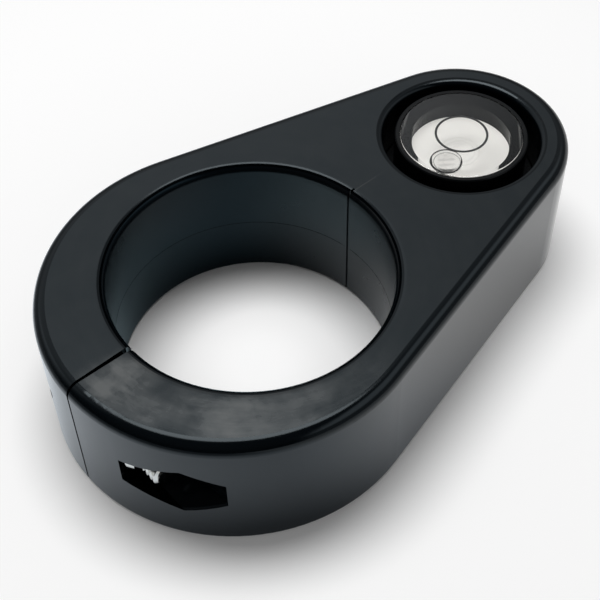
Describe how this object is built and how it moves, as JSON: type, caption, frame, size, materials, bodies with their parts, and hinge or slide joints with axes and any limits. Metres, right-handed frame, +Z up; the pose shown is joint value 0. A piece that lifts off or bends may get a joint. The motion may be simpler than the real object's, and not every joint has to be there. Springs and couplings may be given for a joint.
{
  "type": "bullseye level",
  "caption": "Round bubble level set beside a split clamp ring that a cross screw tightens on a pole, in one teardrop-shaped black moulding.",
  "frame": {"origin": "on the pole bore's axis, halfway up the body", "axes": "+Z up along the pole bore, +X from the bore towards the vial, the long way of the body; the split and the clamp screw are on the -X side, with the screw's head on the +Y side and the nut on the -Y side"},
  "size_m": [0.07, 0.0436, 0.0172],
  "materials": {
    "holder_plastic": "black moulded plastic, semi-gloss",
    "case_plastic": "deep black, smooth",
    "clear_plastic": "clear, polished",
    "base_plastic": "white, smooth",
    "spirit": "clear liquid",
    "ink": "black print",
    "steel": "bright plated steel"
  },
  "bodies": {
    "holder": {"clamp_body": "holder_plastic", "vial_case": "case_plastic", "vial_glass": "clear_plastic", "vial_base": "base_plastic", "vial_liquid": "spirit", "centre_circle": "ink", "clamp_nut": "steel"},
    "washer": {"screw_washer": "steel"},
    "screw": {"clamp_screw": "steel"}
  },
  "joints": [
    {"name": "screw_travel", "type": "slide", "parent": "holder", "child": "washer", "axis": [0, 1, 0], "range_m": [0, 0.00508]},
    {"name": "screw_turn", "type": "hinge", "parent": "washer", "child": "screw", "pos_m": [-0.0202, 0.00564, 0], "axis": [0, 1, 0], "range_deg": [0, 2880]}
  ],
  "couplings": [
    {"joint": "screw_turn", "follows": "screw_travel", "rad_per_m": 9894.7}
  ]
}
